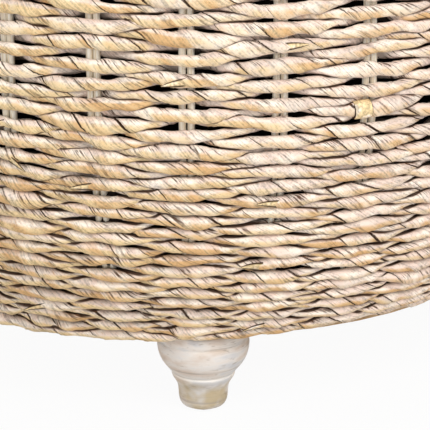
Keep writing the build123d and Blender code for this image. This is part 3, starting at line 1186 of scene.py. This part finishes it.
lining = spun_piece("felt_lining", LINING_PROFILE, CENTRE, ROUND_STEPS, felt, "base")
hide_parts("lining_drum", "lining_floor")
rim_ring = spun_piece("rim_ring_ply", ring_profile(*RIM_RING), CENTRE, ROUND_STEPS, plywood,
                      "base")
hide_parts("rim_ring")
for node in ("base_board", "base_hoop"):
    give_finish(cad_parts[node].data, plywood)
print("lining and rim ring spun in", ROUND_STEPS, "steps")

# %% [markdown]
# ## The lid's cushion
# The lid is a board with foam under a linen cover. A padded form that is only a turned profile
# looks like a lid of wood, so Blender's cloth does the last part: a slightly small cushion is
# remeshed, its underside is pinned to the board, and pressure swells the rest. The movement is
# capped, so that the crown stays at its real height. The piping comes after, along the edge where
# the cloth settled.

# %% Linen finish
CUSHION_RADIUS = 0.2915
THREAD_PITCH = 0.0016
LINEN_SHADE = paint(214, 203, 186)
LINEN_LIGHT = paint(232, 224, 210)
LINEN_SLUB = paint(222, 212, 194)
LINEN_GAP = paint(176, 162, 142)


def linen_finish():
    material, start = new_finish("linen")
    here = start.here()
    spots = here.parts()
    facing = start.node("NewGeometry", {}, {}, "Normal").parts()["Z"]
    topside = facing.math("ABSOLUTE", facing).rise(0.5, 0.8)
    angle = spots.math("ARCTAN2", spots["X"], spots["Y"])
    thread = tau / THREAD_PITCH
    across = spots["X"] * thread * topside + angle * (thread * CUSHION_RADIUS) * (1.0 - topside)
    along = spots["Y"] * thread * topside + spots["Z"] * thread * (1.0 - topside)
    slubs = here.scaled(40.0, 600.0, 500.0).noise(1.0, 2.0)
    slubs_across = here.scaled(600.0, 40.0, 40.0).noise(1.0, 2.0)
    warp = across.math("SINE", across)
    weft = along.math("SINE", along)
    weave = warp * weft * 0.5 + 0.5
    colour = slubs.rise(0.3, 0.7).mix(LINEN_SHADE, LINEN_LIGHT)
    colour = (slubs_across.rise(0.45, 0.7) * 0.6).mix(colour, LINEN_SLUB)
    colour = (weave.rise(0.5, 0.1) * 0.25).mix(colour, LINEN_GAP)
    inputs = {"Base Color": colour, "Roughness": 0.9, "Specular IOR Level": 0.2, "Sheen Weight": 0.15}
    relief = weave * 0.6 + slubs * 0.4 + slubs_across * 0.3
    return close_finish(material, start, relief, 0.0003, inputs)


linen = linen_finish()
print("finish", linen.name)

# %% Shape a small cushion
CUSHION_LOW = SEAT_LINE + 0.0013
CUSHION_SHOULDER = CUSHION_LOW + 0.0532
CUSHION_STEPS = 96
CUSHION_VOXEL = 0.006
CUSHION_PROFILE = (
    (0.0, CUSHION_LOW), (0.2885, CUSHION_LOW), (CUSHION_RADIUS, CUSHION_LOW + 0.003),
    (0.2945, CUSHION_LOW + 0.014), (0.2945, CUSHION_SHOULDER - 0.014),
    (CUSHION_RADIUS, CUSHION_SHOULDER - 0.003), (0.2885, CUSHION_SHOULDER),
    (0.2200, CUSHION_SHOULDER + 0.003), (0.1200, CUSHION_SHOULDER + 0.0055),
    (0.0, CUSHION_SHOULDER + 0.006),
)

cushion = spun_piece("linen_cushion", CUSHION_PROFILE, CENTRE, CUSHION_STEPS, linen, "lid")
remesh = cushion.modifiers.new("remesh", "REMESH")
remesh.mode = "VOXEL"
remesh.voxel_size = CUSHION_VOXEL
remeshed = final_mesh(cushion)
cushion.modifiers.remove(remesh)
cushion.data = remeshed
print("cushion of", len(remeshed.vertices), "vertices")

# %% Swell the cushion
CUSHION_CAP = 0.010
CUSHION_PRESSURE = 4.0
CUSHION_FRAMES = 20
PIN_HEIGHT = CUSHION_LOW + 0.003


def swell_cloth(piece):
    """Run the cloth with inner pressure, and return each vertex's start and how far it moved."""
    pins = piece.vertex_groups.new(name="pins")
    pins.add([v.index for v in piece.data.vertices if v.co.z < PIN_HEIGHT], 1.0, "REPLACE")
    before = np.array([v.co for v in piece.data.vertices])
    cloth = piece.modifiers.new("cloth", "CLOTH")
    cloth.settings.use_pressure = True
    cloth.settings.uniform_pressure_force = CUSHION_PRESSURE
    cloth.settings.effector_weights.gravity = 0.0
    cloth.settings.vertex_group_mass = "pins"
    for step in range(1, CUSHION_FRAMES + 1):
        scene.frame_set(step)
    swollen = final_mesh(piece)
    after = np.array([v.co for v in swollen.vertices])
    bpy.data.meshes.remove(swollen)
    piece.modifiers.remove(cloth)
    piece.vertex_groups.remove(pins)
    scene.frame_set(1)
    return before, after - before


start_spots, moves = swell_cloth(cushion)
reach = np.linalg.norm(moves, axis=1, keepdims=True) + 1e-9
moves *= CUSHION_CAP * np.tanh(reach / CUSHION_CAP) / reach
remeshed.vertices.foreach_set("co", (start_spots + moves).ravel())
give_finish(remeshed, linen)
rounded(cushion, "softening")
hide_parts("seat_cover", "seat_foam")
print("cushion up to a height of", round(max(v.co.z for v in remeshed.vertices), 4), "m")

# %% Sew the piping
WELT_RADIUS = 0.0034
WELT_RINGS = 240
WELT_SIDES = 12
welt_low, welt_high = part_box("seat_welt")
welt_height = (welt_low.z + welt_high.z) / 2
spots = np.array([v.co for v in remeshed.vertices])
near = np.abs(spots[:, 2] - welt_height) < CUSHION_VOXEL
edge_radius = np.hypot(spots[near, 0], spots[near, 1]).max()
welt_profile = []
for i in range(WELT_SIDES + 1):
    turn = tau * i / WELT_SIDES
    welt_profile.append((edge_radius + WELT_RADIUS * cos(turn), welt_height + WELT_RADIUS * sin(turn)))
welt = spun_piece("linen_piping", welt_profile, CENTRE, WELT_RINGS, linen, "lid")
welt.data.shade_smooth()
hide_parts("seat_welt")
print("piping at radius", round(float(edge_radius), 4))

# %% [markdown]
# ## Under the lid
# A black dust cloth covers the underside of the lid, and a plywood ring drops into the mouth of
# the basket to keep the lid in place. Four screws hold the ring. These pieces only show when the
# lid is lifted, but an open lid is how a storage ottoman is used.

# %% Dust cloth, steel and nylon
CLOTH_SHADES = (paint(28, 28, 30), paint(52, 52, 54))
ZINC_SHADES = (paint(168, 170, 172), paint(202, 204, 206))
NYLON_SHADES = (paint(212, 206, 196), paint(228, 224, 216))


def grained_finish(name, scale, shades, roughness, spread, depth, others):
    """A plain finish with a fine grain in two shades, and roughness spread along with it."""
    material, start = new_finish(name)
    grain = start.here().noise(scale, 2.0)
    rough = grain * spread + roughness if spread else roughness
    inputs = {"Base Color": grain.mix(*shades), "Roughness": rough, **others}
    return close_finish(material, start, grain, depth, inputs)


soft, metal = {"Specular IOR Level": 0.2}, {"Metallic": 1.0}
dust_cloth = grained_finish("dust_cloth", 700.0, CLOTH_SHADES, 0.85, 0.0, 0.0003, soft)
steel = grained_finish("zinc_steel", 400.0, ZINC_SHADES, 0.3, 0.2, 0.0001, metal)
nylon = grained_finish("nylon", 1500.0, NYLON_SHADES, 0.4, 0.2, 0.0001, {})
print("finishes", dust_cloth.name, steel.name, "and", nylon.name)

# %% Finish the underside and the fixings
LOCATING_RING = (0.225, 0.249)
DUST_CLOTH_RADIUS = 0.2872
DUST_CLOTH_LOW = SEAT_LINE + 0.0002
DUST_CLOTH_HIGH = SEAT_LINE + 0.0009
DUST_CLOTH_PROFILE = (
    (0.0, DUST_CLOTH_LOW), (DUST_CLOTH_RADIUS, DUST_CLOTH_LOW),
    (DUST_CLOTH_RADIUS, DUST_CLOTH_HIGH), (0.0, DUST_CLOTH_HIGH),
)

under_cloth = spun_piece("dust_cloth_sheet", DUST_CLOTH_PROFILE, CENTRE, ROUND_STEPS, dust_cloth,
                         "lid")
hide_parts("lid_cloth")
locator = spun_piece("locating_ring_ply", ring_profile(*LOCATING_RING), CENTRE, ROUND_STEPS, plywood,
                     "lid")
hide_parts("lid_locator")
for node, finish in (("lid_board", plywood), ("lid_screws", steel), ("foot_bolts", steel),
                     ("foot_inserts", steel), ("foot_glides", nylon)):
    give_finish(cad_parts[node].data, finish)
print("underside and fixings finished")
